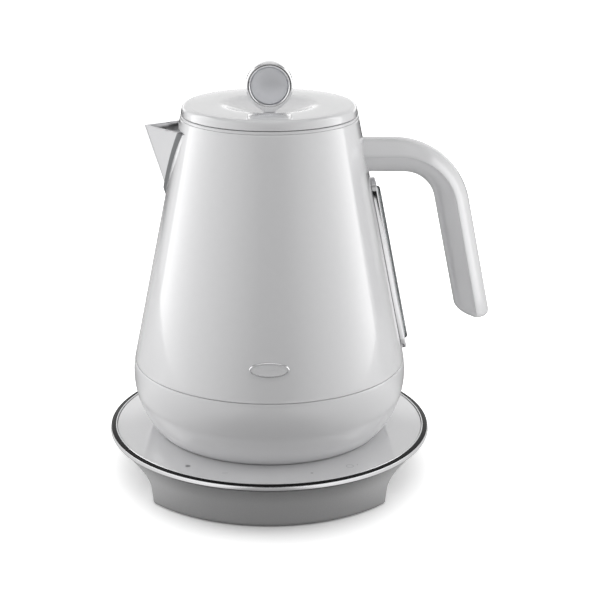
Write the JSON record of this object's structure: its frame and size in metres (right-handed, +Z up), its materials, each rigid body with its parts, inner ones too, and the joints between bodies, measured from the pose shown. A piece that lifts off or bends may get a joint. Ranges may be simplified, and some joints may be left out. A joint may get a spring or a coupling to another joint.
{
  "type": "electric kettle",
  "caption": "Cone-shaped electric kettle with a V spout, an open-ended handle, a side water gauge and a lift-off lid with a round knob, on a round touch-control power base.",
  "frame": {"origin": "on the kettle's vertical axis, at the table, in the middle of the power base's underside", "axes": "+Z up; -X towards the spout; +X towards the handle; -Y is the front with the touch controls and the badge"},
  "size_m": [0.2234, 0.19, 0.2424],
  "materials": {
    "paint": "gloss",
    "white_plastic": "satin gloss",
    "grey_plastic": "satin",
    "dark_plastic": "matt",
    "tray_gloss": "high gloss",
    "chrome": "polished",
    "steel": "polished",
    "aluminium": "plain",
    "brass": "bright",
    "rubber": "matt",
    "silicone": "matt",
    "clear": "clear",
    "board": "satin",
    "trim_grey": "satin"
  },
  "bodies": {
    "base": {"base_housing": "grey_plastic", "base_bottom_cover": "dark_plastic", "rim_ring": "chrome", "rim_band": "dark_plastic", "tray_plate": "tray_gloss", "socket_post": "dark_plastic", "socket_contact_ring": "brass", "socket_contact_pin": "brass", "touch_board": "board", "power_board": "board", "power_relay": "dark_plastic", "beeper": "dark_plastic", "cord_gland": "rubber", "centre_foot": "rubber", "base_foot_1": "rubber", "base_foot_2": "rubber", "base_foot_3": "rubber", "base_foot_4": "rubber", "base_screw_1": "steel", "base_screw_2": "steel", "base_screw_3": "steel", "base_screw_4": "steel"},
    "plug": {"kettle_plug": "dark_plastic"},
    "kettle": {"body_shell": "paint", "lower_skirt": "white_plastic", "kettle_bottom_cover": "dark_plastic", "heater_plate": "steel", "heater_seal": "silicone", "heat_spreader": "aluminium", "heating_element": "steel", "water_sensor": "steel", "control_block": "dark_plastic", "mouth_ring": "white_plastic", "spout": "steel", "spout_trim": "trim_grey", "filter_frame": "grey_plastic", "filter_mesh": "steel", "gauge_frame": "chrome", "gauge_window": "clear", "gauge_seal": "silicone", "handle_outer": "white_plastic", "handle_inner": "white_plastic", "handle_pad": "steel", "handle_strap": "steel", "handle_bolt_1": "steel", "handle_bolt_2": "steel", "badge": "trim_grey", "bottom_screw_1": "steel", "bottom_screw_2": "steel", "bottom_screw_3": "steel"},
    "lid": {"lid_cap": "paint", "lid_tab": "paint", "lid_liner": "grey_plastic", "lid_seal": "silicone", "knob_ring": "chrome", "knob_lens": "chrome", "knob_screw": "steel"}
  },
  "joints": [
    {"name": "kettle_lift", "type": "slide", "parent": "base", "child": "plug", "axis": [0, 0, 1], "range_m": [0, 0.1]},
    {"name": "kettle_swivel", "type": "hinge", "parent": "plug", "child": "kettle", "pos_m": [0, 0, 0.0365], "axis": [0, 0, 1], "continuous": true},
    {"name": "lid_lift", "type": "slide", "parent": "kettle", "child": "lid", "axis": [0, 0, 1], "range_m": [0, 0.06]}
  ]
}
